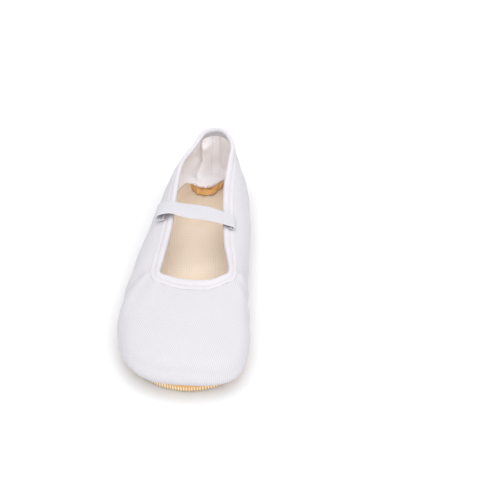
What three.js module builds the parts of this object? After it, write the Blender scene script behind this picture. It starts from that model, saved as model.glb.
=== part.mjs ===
import * as THREE from 'three';

// Single soft slipper for the right foot, in millimetres.
// Toe points to -Y, heel to +Y, inner (big toe) side to +X, ground is Z = 0.

const AROUND = 66;             // vertices round every closed loop
const PER_STATION = 3;         // vertices between two control profiles

// sole
const SOLE_THICKNESS = 2.0;
const LIP_WIDTH = 5.5;         // turned-in seam allowance of the sole

// upper cloth, all offsets measured inwards from the outer face
const SHELL_THICKNESS = 0.7;
const LINING_OUTER = -1.1;
const LINING_INNER = -1.55;
const CLOTH_TOP = 2.8;         // cloth edge below the crest of the binding
const CLOTH_FOOT = 1.5;        // cloth edge above the sole seam

// binding round the opening
const BAND_WIDTH = 7.8;
const STITCH_LINE = 4.9;       // groove that parts the puffed tunnel from the flat edge
const CORD_RADIUS = 0.55;

// instep elastic
const STRAP_WIDTH = 14.0;
const STRAP_THICKNESS = 0.9;
const STRAP_Y_OUTER = 25.0;    // where the strap's middle crosses the outer topline
const STRAP_Y_INNER = 17.8;
const STRAP_CREST = 41.0;
const STRAP_TILT = 1.2;        // front edge lower, rear edge higher, by this much

// Profiles round the upper, heel centre first, then along the inner side to
// the toe and back along the outer side. Each profile runs from the sole seam
// over the bulge of the wall to the crest of the opening.
const PROFILES = [
  [[4.5, 114, 7], [4.5, 118.5, 16], [5, 117.5, 30], [5.8, 114, 45.5], [6.5, 110, 57.5]],
  [[15.5, 110.5, 6.5], [18, 114.5, 15], [18, 113.5, 29], [16.8, 110.5, 44], [14, 107, 56]],
  [[24.5, 101, 6], [27.6, 103.5, 15], [24.8, 100.5, 28], [22.4, 98.5, 41], [19.3, 96.5, 52]],
  [[28.5, 85, 6], [31.4, 86, 15], [28.9, 85.5, 26], [24.4, 84, 37.5], [17.5, 81, 45.5]],
  [[29, 58, 5.5], [34.5, 58, 15], [32, 58, 25], [25.5, 57, 33.5], [15.5, 55.5, 39.5]],
  [[29.5, 28, 5.5], [36, 28, 14], [34, 28, 23], [27.5, 27.5, 31], [16.5, 27, 35.5]],
  [[30.5, -2, 5.5], [36.5, -2, 13.5], [35, -2, 22.5], [29.5, -3, 30], [19, -3, 34]],
  [[32, -36, 5.5], [36.7, -35, 13], [35.7, -34, 22.5], [31.8, -30, 30.5], [22.8, -24, 34]],
  [[34.5, -66, 5.5], [39.3, -64, 13.5], [37.4, -58, 23], [33, -47, 31], [23.8, -35.4, 34]],
  [[35, -94, 5.8], [40, -95.5, 13.4], [36.5, -87, 24], [27.5, -65, 30.7], [20, -41.3, 35]],
  [[25.5, -111, 6.5], [30, -116.3, 13.8], [24.8, -107, 24.4], [16, -78, 31.5], [12.5, -46.9, 35.7]],
  [[4, -117, 8.6], [4, -122.3, 15], [3.5, -111.5, 25.8], [3, -81, 33], [3, -48.6, 36.5]],
  [[-18, -112.2, 7.5], [-22.3, -117.2, 13.8], [-18, -107.5, 24.8], [-10.5, -79, 32.3], [-7, -47.4, 36.3]],
  [[-34, -97.5, 6.3], [-39.4, -101.2, 13.4], [-35.1, -92, 24.2], [-23.5, -69, 31.2], [-15.5, -43.8, 35.5]],
  [[-41, -74, 5.5], [-47, -73, 13], [-44.1, -66, 23], [-34, -52.5, 31], [-21.8, -38.8, 34.5]],
  [[-41, -42, 5.5], [-46.7, -42, 13.5], [-43.7, -39, 23], [-34.5, -33, 30.5], [-21.7, -28, 34]],
  [[-39, -8, 5.5], [-43.7, -8, 14], [-40.7, -7, 23], [-32.5, -6, 31], [-20, -4, 35]],
  [[-35.5, 24, 5.5], [-39.7, 24, 14.5], [-36.4, 24, 24], [-29.3, 24, 32], [-19, 24, 37]],
  [[-31.5, 54, 5.5], [-35.6, 54, 15], [-32.4, 54, 25], [-27, 53, 34], [-19.6, 52, 40]],
  [[-28.8, 82.8, 6], [-31.6, 83.6, 15.5], [-27.9, 82.3, 27], [-23.6, 80, 38], [-18, 77.3, 45.6]],
  [[-21.2, 103.2, 6], [-23.2, 104.3, 15], [-20.6, 101.8, 29], [-14.6, 98, 42], [-9.2, 94.8, 51.6]],
  [[-8.2, 111.2, 6.5], [-9.7, 114, 15.5], [-9, 113, 29.5], [-6.3, 110, 44.5], [-3, 106.2, 56.2]],
].map((row) => row.map((p) => new THREE.Vector3(...p)));

const COUNT = PROFILES.length;

function spline(a, b, c, d, u) {
  const f = (p, q, r, s) => 0.5 * (2 * q + (r - p) * u + (2 * p - 5 * q + 4 * r - s) * u * u
    + (3 * q - p - 3 * r + s) * u * u * u);
  return new THREE.Vector3(f(a.x, b.x, c.x, d.x), f(a.y, b.y, c.y, d.y), f(a.z, b.z, c.z, d.z));
}

const wrap = (i) => ((i % COUNT) + COUNT) % COUNT;

function profile(s) {
  const k = Math.floor(s);
  const u = s - k;
  const rows = [k - 1, k, k + 1, k + 2].map((i) => PROFILES[wrap(i)]);
  return rows[0].map((_, j) => spline(rows[0][j], rows[1][j], rows[2][j], rows[3][j], u));
}

function alongCurve(points, t) {
  const n = points.length - 1;
  const x = Math.min(Math.max(t, 0), 1) * n;
  const k = Math.min(Math.floor(x), n - 1);
  const a = k > 0 ? points[k - 1] : points[0].clone().multiplyScalar(2).sub(points[1]);
  const d = k + 2 <= n ? points[k + 2] : points[n].clone().multiplyScalar(2).sub(points[n - 1]);
  return spline(a, points[k], points[k + 1], d, x - k);
}

// Wall profile measured by its length: below(w) is the place w mm under the crest.
const SAMPLES = 60;
const wallCache = new Map();

function wall(s) {
  const key = s.toFixed(5);
  if (wallCache.has(key)) return wallCache.get(key);
  const points = profile(s);
  const line = [];
  for (let i = 0; i <= SAMPLES; i += 1) line.push(alongCurve(points, 1 - i / SAMPLES));
  const lengths = [0];
  for (let i = 1; i <= SAMPLES; i += 1) lengths.push(lengths[i - 1] + line[i].distanceTo(line[i - 1]));
  const total = lengths[SAMPLES];
  const at = (w) => {
    const g = Math.min(Math.max(w, 0), total);
    let i = 1;
    while (i < SAMPLES && lengths[i] < g) i += 1;
    const f = (g - lengths[i - 1]) / (lengths[i] - lengths[i - 1]);
    return line[i - 1].clone().lerp(line[i], f);
  };
  // w at a share t of the control profile, 0 at the sole seam, 1 at the crest
  const share = (t) => {
    const x = (1 - t) * SAMPLES;
    const i = Math.min(Math.floor(x), SAMPLES - 1);
    return lengths[i] + (lengths[i + 1] - lengths[i]) * (x - i);
  };
  const found = { total, at, share };
  wallCache.set(key, found);
  return found;
}

const wallLength = (s) => wall(s).total;

// place on the wall, w mm under the crest and off mm out of the outer face
function place(s, w, off) {
  const here = wall(s);
  const p = here.at(w);
  const lo = Math.max(w - 0.8, 0);
  const hi = Math.min(w + 0.8, here.total);
  const down = here.at(hi).sub(here.at(lo));
  const e = 0.06;
  const a = wall(s - e);
  const b = wall(s + e);
  const across = b.at(w * b.total / here.total).sub(a.at(w * a.total / here.total));
  const normal = across.cross(down).normalize();
  return p.addScaledVector(normal, off);
}

// sole seam loop moved inwards by `inset` in plan, at height z
function seamPoint(s, inset, z) {
  const p = profile(s)[0];
  const t = profile(s + 0.04)[0].sub(profile(s - 0.04)[0]);
  const length = Math.hypot(t.x, t.y);
  return new THREE.Vector3(p.x + (t.y / length) * inset, p.y - (t.x / length) * inset, z);
}
const seamHeight = (s) => profile(s)[0].z;

const stations = [];
for (let i = 0; i < AROUND; i += 1) stations.push(i / PER_STATION);

function closedMesh(vertices, faces) {
  let volume = 0;
  for (const [a, b, c] of faces) {
    volume += vertices[a].dot(vertices[b].clone().cross(vertices[c])) / 6;
  }
  const index = [];
  for (const [a, b, c] of faces) {
    if (volume < 0) index.push(a, c, b);
    else index.push(a, b, c);
  }
  const geometry = new THREE.BufferGeometry();
  geometry.setAttribute('position', new THREE.Float32BufferAttribute(vertices.flatMap((v) => [v.x, v.y, v.z]), 3));
  geometry.setIndex(index);
  geometry.computeVertexNormals();
  return geometry;
}

// loops joined one to the next; either joined back to the first or capped flat
function loops(rows, capped) {
  const n = rows[0].length;
  const vertices = rows.flat();
  const faces = [];
  const last = capped ? rows.length - 1 : rows.length;
  for (let r = 0; r < last; r += 1) {
    const a = r * n;
    const b = ((r + 1) % rows.length) * n;
    for (let i = 0; i < n; i += 1) {
      const j = (i + 1) % n;
      faces.push([a + i, b + i, b + j], [a + i, b + j, a + j]);
    }
  }
  if (capped) {
    const flat = (row) => THREE.ShapeUtils.triangulateShape(row.map((p) => new THREE.Vector2(p.x, p.y)), []);
    for (const [base, row, sign] of [[0, rows[0], 1], [(rows.length - 1) * n, rows[rows.length - 1], -1]]) {
      for (const [i, j, k] of flat(row)) {
        const turn = (row[j].x - row[i].x) * (row[k].y - row[i].y) - (row[k].x - row[i].x) * (row[j].y - row[i].y);
        const keep = turn * sign < 0;
        faces.push(keep ? [base + i, base + j, base + k] : [base + i, base + k, base + j]);
      }
    }
  }
  return closedMesh(vertices, faces);
}

// flat piece with two faces: face(i, j, side) for i in 0..ni, j in 0..nj
function sheet(ni, nj, face) {
  const rows = [];
  for (let j = 0; j <= nj; j += 1) {
    const row = [];
    for (let i = 0; i <= ni; i += 1) row.push(face(i, j, 0));
    for (let i = ni; i >= 0; i -= 1) row.push(face(i, j, 1));
    rows.push(row);
  }
  const n = rows[0].length;
  const vertices = rows.flat();
  const faces = [];
  for (let j = 0; j < nj; j += 1) {
    for (let i = 0; i < n; i += 1) {
      const k = (i + 1) % n;
      faces.push([j * n + i, (j + 1) * n + i, (j + 1) * n + k], [j * n + i, (j + 1) * n + k, j * n + k]);
    }
  }
  for (let i = 0; i < ni; i += 1) {
    const a = i;
    const b = i + 1;
    const c = n - 2 - i;
    const d = n - 1 - i;
    faces.push([a, b, c], [a, c, d]);
    const o = nj * n;
    faces.push([o + a, o + c, o + b], [o + a, o + d, o + c]);
  }
  return closedMesh(vertices, faces);
}

function loopTube(sides, radius, centre, sideways, upwards) {
  const rows = [];
  for (let k = 0; k < sides; k += 1) {
    const angle = (2 * Math.PI * (k + 0.5)) / sides;
    rows.push(stations.map((s) => {
      const c = centre(s);
      return c.addScaledVector(sideways(s), radius * Math.cos(angle))
        .addScaledVector(upwards(s), radius * Math.sin(angle));
    }));
  }
  return loops(rows, false);
}

function outsole() {
  const rise = (s) => seamHeight(s);
  const rows = [
    (s) => seamPoint(s, 10, 0),
    (s) => seamPoint(s, 3.6, 0),
    (s) => seamPoint(s, 1.4, 0.9),
    (s) => seamPoint(s, 0.2, 2.7),
    (s) => seamPoint(s, -0.3, 4.3),
    (s) => seamPoint(s, 0.1, rise(s)),
    (s) => seamPoint(s, 3.0, rise(s) + 0.7),
    (s) => seamPoint(s, LIP_WIDTH, rise(s) + 1.3),
    (s) => seamPoint(s, LIP_WIDTH, rise(s) + 0.3),
    (s) => seamPoint(s, 2.7, rise(s) - 0.9),
    (s) => seamPoint(s, 1.9, 4.0),
    (s) => seamPoint(s, 2.5, 2.7),
    (s) => seamPoint(s, 4.2, SOLE_THICKNESS),
    (s) => seamPoint(s, 10, SOLE_THICKNESS),
  ];
  return loops(rows.map((f) => stations.map(f)), true);
}

const insoleFoam = () => loops([[5.2, 2.3], [4.2, 2.6], [3.9, 3.2], [4.6, 3.5]]
  .map(([inset, z]) => stations.map((s) => seamPoint(s, inset, z))), true);
const insoleCover = () => loops([[5.0, 3.8], [4.1, 3.95], [4.1, 4.2], [5.0, 4.4]]
  .map(([inset, z]) => stations.map((s) => seamPoint(s, inset, z))), true);

// heights of the cloth's rows as shares of the profile, closest round the bulge
const CLOTH_ROWS = [0.1, 0.17, 0.25, 0.34, 0.45, 0.58, 0.72, 0.86];

function clothLayer(outer, inner) {
  const rows = [];
  const steps = CLOTH_ROWS.length + 1;
  const w = (s, k) => {
    if (k === 0) return wallLength(s) - CLOTH_FOOT;
    if (k === steps) return CLOTH_TOP;
    return wall(s).share(CLOTH_ROWS[k - 1]);
  };
  for (let k = 0; k <= steps; k += 1) rows.push(stations.map((s) => place(s, w(s, k), outer)));
  for (let k = steps; k >= 0; k -= 1) rows.push(stations.map((s) => place(s, w(s, k), inner)));
  return loops(rows, false);
}

const BAND_SECTION = [
  [BAND_WIDTH, 0.25], [BAND_WIDTH, 0.68], [6.4, 0.76], [5.4, 0.7], [STITCH_LINE, 0.46], [4.4, 0.72], [3.2, 1.1],
  [1.8, 1.1], [0.7, 0.7], [0.12, -0.1], [0, -0.72], [0.12, -1.35], [0.7, -2.1], [2.2, -2.45], [4.4, -2.35],
  [7.2, -2.35], [7.2, -1.85], [5, -1.85], [2.6, -1.85], [1.0, -1.3], [0.65, -0.72], [1.0, -0.15], [2.6, 0.25], [5, 0.25],
];
const toplineBand = () => loops(BAND_SECTION.map(([w, off]) => stations.map((s) => place(s, w, off))), false);

const wallNormal = (w) => (s) => place(s, w, 1).sub(place(s, w, 0));
const wallDown = (w) => (s) => place(s, w + 0.6, 0).sub(place(s, w - 0.6, 0)).normalize();
const toplineElastic = () => loopTube(6, CORD_RADIUS, (s) => place(s, 1.75, -0.72), wallNormal(1.75), wallDown(1.75));
const toplineStitching = () => loopTube(4, 0.2, (s) => place(s, STITCH_LINE, 0.74), wallNormal(STITCH_LINE), wallDown(STITCH_LINE));

const planeOut = (s) => seamPoint(s, -1, 0).sub(seamPoint(s, 0, 0));
const up = () => new THREE.Vector3(0, 0, 1);
const soleSeamThread = () => loopTube(4, 0.3, (s) => seamPoint(s, -0.1, seamHeight(s) + 0.5), planeOut, up);
const allowanceOverlock = () => loopTube(4, 0.35, (s) => seamPoint(s, 4.9, seamHeight(s) + 1.75), planeOut, up);

// station on one side where the wall's upper part stands at a given y
function stationAt(side, y) {
  let lo = side > 0 ? 3 : 15;
  let hi = side > 0 ? 8 : 20;
  for (let i = 0; i < 40; i += 1) {
    const mid = (lo + hi) / 2;
    const here = place(mid, 4, 0).y;
    if ((side > 0 && here > y) || (side < 0 && here < y)) lo = mid;
    else hi = mid;
  }
  return (lo + hi) / 2;
}

// turns of the strap at its two ends: sewn flat on the binding, out past it and
// back over itself; open and round at the outer side, close at the inner side
const TURN_OUTER = [[6.4, 1.5], [8.0, 1.5], [9.4, 1.75], [10.2, 2.9], [9.8, 4.6], [8.0, 5.7], [4.6, 5.9], [0.3, 5.2]];
const TURN_INNER = [[4.2, 1.6], [5.6, 1.5], [6.8, 1.65], [7.4, 2.5], [6.9, 3.4], [5.2, 3.8], [2.8, 3.9], [0.3, 4.1]];

function strapLine(edge) {
  const offset = edge * (STRAP_WIDTH / 2);
  const outer = stationAt(-1, STRAP_Y_OUTER + offset);
  const inner = stationAt(1, STRAP_Y_INNER + offset);
  const lift = edge * STRAP_TILT;
  const a = TURN_OUTER.map(([w, off]) => place(outer, w, off));
  const b = TURN_INNER.map(([w, off]) => place(inner, w, off)).reverse();
  const left = a[a.length - 1];
  const right = b[0];
  const middle = [0.25, 0.5, 0.75].map((f) => {
    const p = left.clone().lerp(right, f);
    p.z = THREE.MathUtils.lerp(p.z, STRAP_CREST + lift, Math.sin(Math.PI * f));
    return p;
  });
  return [...a, ...middle, ...b];
}

function instepElastic() {
  const edges = [-1, 0, 1].map(strapLine);
  const steps = 40;
  const even = edges.map((line) => {
    const curve = new THREE.CatmullRomCurve3(line, false, 'centripetal');
    curve.arcLengthDivisions = 400;
    return curve.getSpacedPoints(steps);
  });
  return sheet(2, steps, (i, j, side) => {
    const p = even[i][j].clone();
    const before = even[i][Math.max(j - 1, 0)];
    const after = even[i][Math.min(j + 1, steps)];
    const across = even[2][j].clone().sub(even[0][j]);
    const normal = after.clone().sub(before).cross(across).normalize();
    return p.addScaledVector(normal, (side ? -0.5 : 0.5) * STRAP_THICKNESS);
  });
}

// the bar of stitches lies on the strap's sewn end, inside the turn
function bartack(side, y, start) {
  return sheet(4, 1, (i, j, face) => {
    const s = stationAt(side, y + (i / 4 - 0.5) * (STRAP_WIDTH - 1));
    return place(s, start + j * 1.2, face ? 2.4 : 2.05);
  });
}

const heelSeamTape = () => sheet(4, 9, (i, j, face) => {
  const s = (i / 4 - 0.5) * 0.72;
  const w = 8.3 + (wallLength(s) - 2.6 - 8.3) * (j / 9);
  return place(s, w, face ? -2.5 : -1.9);
});
const heelSeamThread = () => sheet(1, 8, (i, j, face) => {
  const s = (i - 0.5) * 0.12;
  const w = 9.1 + (wallLength(s) - 2.0 - 9.1) * (j / 8);
  return place(s, w, face ? 0.3 : 0.6);
});

const PIECES = [
  ['outsole', outsole(), 0xd9b877, 0.7],
  ['insole_foam', insoleFoam(), 0xcfc6b8, 0.9],
  ['insole_cover', insoleCover(), 0xe0cbad, 0.9],
  ['upper_shell', clothLayer(0, -SHELL_THICKNESS), 0xeeecf0, 0.9],
  ['lining', clothLayer(LINING_OUTER, LINING_INNER), 0xe6dfd8, 0.95],
  ['topline_band', toplineBand(), 0xf4f4f6, 0.85],
  ['topline_elastic', toplineElastic(), 0xf0f0ee, 0.8],
  ['instep_elastic', instepElastic(), 0xe9ecf0, 0.75],
  ['bartack_lateral', bartack(-1, STRAP_Y_OUTER, 6.9), 0xf6f6f6, 0.8],
  ['bartack_medial', bartack(1, STRAP_Y_INNER, 4.6), 0xf6f6f6, 0.8],
  ['heel_seam_tape', heelSeamTape(), 0xe2d9d0, 0.95],
  ['heel_seam_thread', heelSeamThread(), 0xf2f2f2, 0.8],
  ['topline_stitching', toplineStitching(), 0xf6f6f6, 0.8],
  ['sole_seam_thread', soleSeamThread(), 0xf2efe8, 0.8],
  ['allowance_overlock', allowanceOverlock(), 0xf5f2ea, 0.85],
];

const whole = new THREE.Box3();
for (const [, geometry] of PIECES) {
  geometry.computeBoundingBox();
  whole.union(geometry.boundingBox);
}
const centre = whole.getCenter(new THREE.Vector3());

const slipper = new THREE.Group();
slipper.name = 'slipper';
for (const [name, geometry, color, roughness] of PIECES) {
  geometry.translate(-centre.x, -centre.y, -whole.min.z);
  const mesh = new THREE.Mesh(geometry, new THREE.MeshStandardMaterial({ color, roughness, metalness: 0 }));
  mesh.name = name;
  slipper.add(mesh);
}

export default slipper;
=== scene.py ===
import math
import bpy
import numpy as np
from mathutils import Vector, Matrix


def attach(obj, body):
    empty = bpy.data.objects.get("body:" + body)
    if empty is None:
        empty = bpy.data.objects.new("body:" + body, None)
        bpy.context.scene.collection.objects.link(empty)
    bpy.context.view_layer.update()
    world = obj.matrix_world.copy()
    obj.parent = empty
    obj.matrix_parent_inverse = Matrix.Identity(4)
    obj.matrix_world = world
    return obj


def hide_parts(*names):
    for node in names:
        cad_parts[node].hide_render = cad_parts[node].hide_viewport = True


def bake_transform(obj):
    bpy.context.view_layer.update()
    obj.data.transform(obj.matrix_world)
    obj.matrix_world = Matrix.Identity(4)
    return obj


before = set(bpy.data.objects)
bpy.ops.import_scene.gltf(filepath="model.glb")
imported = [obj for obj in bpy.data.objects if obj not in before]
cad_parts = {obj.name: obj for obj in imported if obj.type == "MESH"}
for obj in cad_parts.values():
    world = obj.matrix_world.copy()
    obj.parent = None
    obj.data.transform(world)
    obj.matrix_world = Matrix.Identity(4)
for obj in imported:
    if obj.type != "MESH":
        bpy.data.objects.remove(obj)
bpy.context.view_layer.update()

MM = 0.001
SHIFT = np.array([3.4778, 1.5077, 0.0])
RNG = np.random.default_rng(7)

# ------------------------------------------------------------------ form
# Profiles round the upper, as in the part's source: sole seam, bulge, upper
# wall, near the binding, crest of the opening. Heel centre first, then the
# inner side, the toe and the outer side.
PROFILES = np.array([
    [(4.5, 114, 7), (4.5, 118.5, 16), (5, 117.5, 30), (5.8, 114, 45.5), (6.5, 110, 57.5)],
    [(15.5, 110.5, 6.5), (18, 114.5, 15), (18, 113.5, 29), (16.8, 110.5, 44), (14, 107, 56)],
    [(24.5, 101, 6), (27.6, 103.5, 15), (24.8, 100.5, 28), (22.4, 98.5, 41), (19.3, 96.5, 52)],
    [(28.5, 85, 6), (31.4, 86, 15), (28.9, 85.5, 26), (24.4, 84, 37.5), (17.5, 81, 45.5)],
    [(29, 58, 5.5), (34.5, 58, 15), (32, 58, 25), (25.5, 57, 33.5), (15.5, 55.5, 39.5)],
    [(29.5, 28, 5.5), (36, 28, 14), (34, 28, 23), (27.5, 27.5, 31), (16.5, 27, 35.5)],
    [(30.5, -2, 5.5), (36.5, -2, 13.5), (35, -2, 22.5), (29.5, -3, 30), (19, -3, 34)],
    [(32, -36, 5.5), (36.7, -35, 13), (35.7, -34, 22.5), (31.8, -30, 30.5), (22.8, -24, 34)],
    [(34.5, -66, 5.5), (39.3, -64, 13.5), (37.4, -58, 23), (33, -47, 31), (23.8, -35.4, 34)],
    [(35, -94, 5.8), (40, -95.5, 13.4), (36.5, -87, 24), (27.5, -65, 30.7), (20.0, -41.3, 35)],
    [(24.8, -109.8, 6.3), (30, -116.3, 12.8), (24.8, -107, 24.4), (16, -78, 31.5), (12.5, -46.9, 35.7)],
    [(4, -117, 8.6), (4, -122.3, 15), (3.5, -111.5, 25.8), (3, -81, 33), (3, -48.6, 36.5)],
    [(-18, -112.2, 7.5), (-22.3, -117.2, 13.8), (-18, -107.5, 24.8), (-10.5, -79, 32.3), (-7, -47.4, 36.3)],
    [(-34, -97.5, 6.3), (-39.4, -101.2, 13.4), (-35.1, -92, 24.2), (-23.5, -69, 31.2), (-15.5, -43.8, 35.5)],
    [(-41, -74, 5.5), (-47, -73, 13), (-44.1, -66, 23), (-34, -52.5, 31), (-21.8, -38.8, 34.5)],
    [(-41, -42, 5.5), (-46.7, -42, 13.5), (-43.7, -39, 23), (-34.5, -33, 30.5), (-21.7, -28, 34)],
    [(-39, -8, 5.5), (-43.7, -8, 14), (-40.7, -7, 23), (-32.5, -6, 31), (-20, -4, 35)],
    [(-35.5, 24, 5.5), (-39.7, 24, 14.5), (-36.4, 24, 24), (-29.3, 24, 32), (-19, 24, 37)],
    [(-31.5, 54, 5.5), (-35.6, 54, 15), (-32.4, 54, 25), (-27, 53, 34), (-19.6, 52, 40)],
    [(-28.8, 82.8, 6), (-31.6, 83.6, 15.5), (-27.9, 82.3, 27), (-23.6, 80, 38), (-18, 77.3, 45.6)],
    [(-21.2, 103.2, 6), (-23.2, 104.3, 15), (-20.6, 101.8, 29), (-14.6, 98, 42), (-9.2, 94.8, 51.6)],
    [(-8.2, 111.2, 6.5), (-9.7, 114, 15.5), (-9, 113, 29.5), (-6.3, 110, 44.5), (-3, 106.2, 56.2)],
], float)
COUNT = len(PROFILES)
DENSE = 160


def spline(a, b, c, d, u):
    return 0.5 * (2 * b + (c - a) * u + (2 * a - 5 * b + 4 * c - d) * u ** 2 + (3 * b - a - 3 * c + d) * u ** 3)


def profiles(s):
    s = np.asarray(s, float)
    k = np.floor(s).astype(int)
    u = (s - k)[:, None, None]
    row = [PROFILES[(k + i) % COUNT] for i in (-1, 0, 1, 2)]
    return spline(row[0], row[1], row[2], row[3], u)


def dense(s):
    """(n, DENSE+1, 3) points from the crest down to the seam, and lengths."""
    p = profiles(s)
    n = p.shape[1] - 1
    ext = np.concatenate([(2 * p[:, :1] - p[:, 1:2]), p, (2 * p[:, -1:] - p[:, -2:-1])], axis=1)
    t = 1 - np.arange(DENSE + 1) / DENSE
    x = t * n
    k = np.minimum(np.floor(x).astype(int), n - 1)
    u = (x - k)[None, :, None]
    line = spline(ext[:, k], ext[:, k + 1], ext[:, k + 2], ext[:, k + 3], u)
    step = np.linalg.norm(np.diff(line, axis=1), axis=2)
    length = np.concatenate([np.zeros((len(p), 1)), np.cumsum(step, axis=1)], axis=1)
    return line, length


def at(s, w):
    """Points w mm below the crest; s (n,), w (n, m)."""
    line, length = dense(s)
    out = np.empty(w.shape + (3,))
    for i in range(len(line)):
        for c in range(3):
            out[i, :, c] = np.interp(w[i], length[i], line[i, :, c])
    return out


def total(s):
    return dense(np.atleast_1d(s))[1][:, -1]


def share(s, t):
    """w at shares t of the profile, 0 at the seam and 1 at the crest: (n, m)."""
    _, length = dense(s)
    x = (1 - np.asarray(t)) * DENSE
    return np.stack([np.interp(x, np.arange(DENSE + 1), row) for row in length])


def frames(s, w):
    """Points and outward normals on the outer face."""
    s = np.asarray(s, float)
    w = np.asarray(w, float)
    p = at(s, w)
    full = total(s)[:, None]
    lo = np.maximum(w - 0.8, 0)
    hi = np.minimum(w + 0.8, full)
    down = at(s, hi) - at(s, lo)
    e = 0.06
    a = at(s - e, w * total(s - e)[:, None] / full)
    b = at(s + e, w * total(s + e)[:, None] / full)
    nrm = np.cross(b - a, down)
    nrm /= np.maximum(np.linalg.norm(nrm, axis=2, keepdims=True), 1e-9)
    return p, nrm


def place(s, w, off):
    p, n = frames(s, w)
    return p + n * np.asarray(off)[..., None]


def crest_length(s):
    """Length along the crest from heel centre to station s, in mm."""
    g = np.linspace(0, COUNT, COUNT * 40 + 1)
    c = profiles(g)[:, 4]
    length = np.concatenate([[0], np.cumsum(np.linalg.norm(np.diff(c, axis=0), axis=1))])
    return np.interp(s, g, length), length[-1]


def seam_length(s):
    g = np.linspace(0, COUNT, COUNT * 40 + 1)
    c = profiles(g)[:, 0]
    length = np.concatenate([[0], np.cumsum(np.linalg.norm(np.diff(c, axis=0), axis=1))])
    return np.interp(s, g, length), length[-1]


def seam(s, inset, z):
    """Sole seam loop moved inwards by inset in plan; z is a number or (n,)."""
    s = np.asarray(s, float)
    p = profiles(s)[:, 0]
    t = profiles(s + 0.04)[:, 0] - profiles(s - 0.04)[:, 0]
    t = t[:, :2] / np.linalg.norm(t[:, :2], axis=1, keepdims=True)
    inset = np.broadcast_to(np.asarray(inset, float), s.shape)
    out = np.empty((len(s), 3))
    out[:, 0] = p[:, 0] + t[:, 1] * inset
    out[:, 1] = p[:, 1] - t[:, 0] * inset
    out[:, 2] = z
    return out


def seam_height(s):
    return profiles(s)[:, 0, 2]


def flat_map(s, w, p):
    """Cloth coordinates in mm: the wall unrolled outwards from the opening."""
    prof = profiles(s)
    d = prof[:, 1, :2] - prof[:, 4, :2]
    d /= np.linalg.norm(d, axis=1, keepdims=True)
    return prof[:, 4, None, :2] + d[:, None, :] * w[..., None]


# smooth repeatable noise, used for folds and edges
def twill_map(s, w, p):
    """Cloth coordinates in mm: one thread direction over the vamp, unrolled
    down and along the walls behind it, up to the back seam."""
    x, y, drop = p[..., 0], p[..., 1], 36.0 - p[..., 2]
    u = x + 0.5 * np.tanh(x / 18) * drop
    toe = np.clip((-y - 30) / 50, 0, 1)
    v = y - 0.45 * drop * toe * toe * (3 - 2 * toe)
    run = seam_length(s)[0]
    inner = (s < 11)[:, None]
    along = np.where(inner, 28 + (seam_length(np.array([5.0]))[0] - run)[:, None], 24 + (run - seam_length(np.array([17.0]))[0])[:, None])
    down = np.where(inner, 1, -1) * (20 + w)
    k = np.clip((y + 55) / 45, 0, 1)
    k = k * k * (3 - 2 * k)
    return np.stack([u + (down - u) * k, v + (along - v) * k], -1)


def wobble(x, seed, period=None, octaves=3):
    r = np.random.default_rng(seed)
    y = np.zeros_like(np.asarray(x, float))
    for k in range(octaves):
        f = 2 ** k
        for _ in range(3):
            q = r.uniform(0.6, 1.5) * f
            if period is not None:
                q = max(1, round(q))
                y = y + np.sin(2 * np.pi * q * x / period + r.uniform(0, 6.28)) / (f * 3)
            else:
                y = y + np.sin(q * x + r.uniform(0, 6.28)) / (f * 3)
    return y


# ------------------------------------------------------------- mesh making
def grid_faces(rows, cols, close_rows=False, close_cols=True, base=0):
    r = np.arange(rows if close_rows else rows - 1)
    c = np.arange(cols if close_cols else cols - 1)
    R, C = np.meshgrid(r, c, indexing="ij")
    R2 = (R + 1) % rows
    C2 = (C + 1) % cols
    return (np.stack([R * cols + C, R2 * cols + C, R2 * cols + C2, R * cols + C2], axis=-1).reshape(-1, 4) + base)


def signed_volume(v, faces):
    total_v = 0.0
    for f in faces:
        f = np.asarray(f)
        if f.ndim == 1:
            f = f[None]
        for k in range(1, f.shape[1] - 1):
            a, b, c = v[f[:, 0]], v[f[:, k]], v[f[:, k + 1]]
            total_v += float(np.einsum("ij,ij->i", a, np.cross(b, c)).sum()) / 6
    return total_v


def build(name, verts, faces, material=None, uv=None, smooth=True, sharp_angle=None):
    """verts in mm in the source's frame; faces is a list of index arrays."""
    verts = np.asarray(verts, float)
    if signed_volume(verts, faces) < 0:
        faces = [np.asarray(f)[..., ::-1] for f in faces]
    mesh = bpy.data.meshes.new(name)
    flat = []
    for f in faces:
        f = np.asarray(f)
        if f.ndim == 1:
            flat.append(f.tolist())
        else:
            flat.extend(f.tolist())
    mesh.from_pydata(((verts + SHIFT) * MM).tolist(), [], flat)
    mesh.validate()
    if uv is not None:
        layer = mesh.uv_layers.new(name="cloth")
        index = np.empty(len(mesh.loops), int)
        mesh.loops.foreach_get("vertex_index", index)
        layer.data.foreach_set("uv", (np.asarray(uv)[index] * MM * 10).ravel())
    if smooth:
        mesh.polygons.foreach_set("use_smooth", [True] * len(mesh.polygons))
    obj = bpy.data.objects.new(name, mesh)
    bpy.context.scene.collection.objects.link(obj)
    if material is not None:
        mesh.materials.append(material)
    if sharp_angle is not None:
        mesh.set_sharp_from_angle(angle=math.radians(sharp_angle))
    return obj


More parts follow.
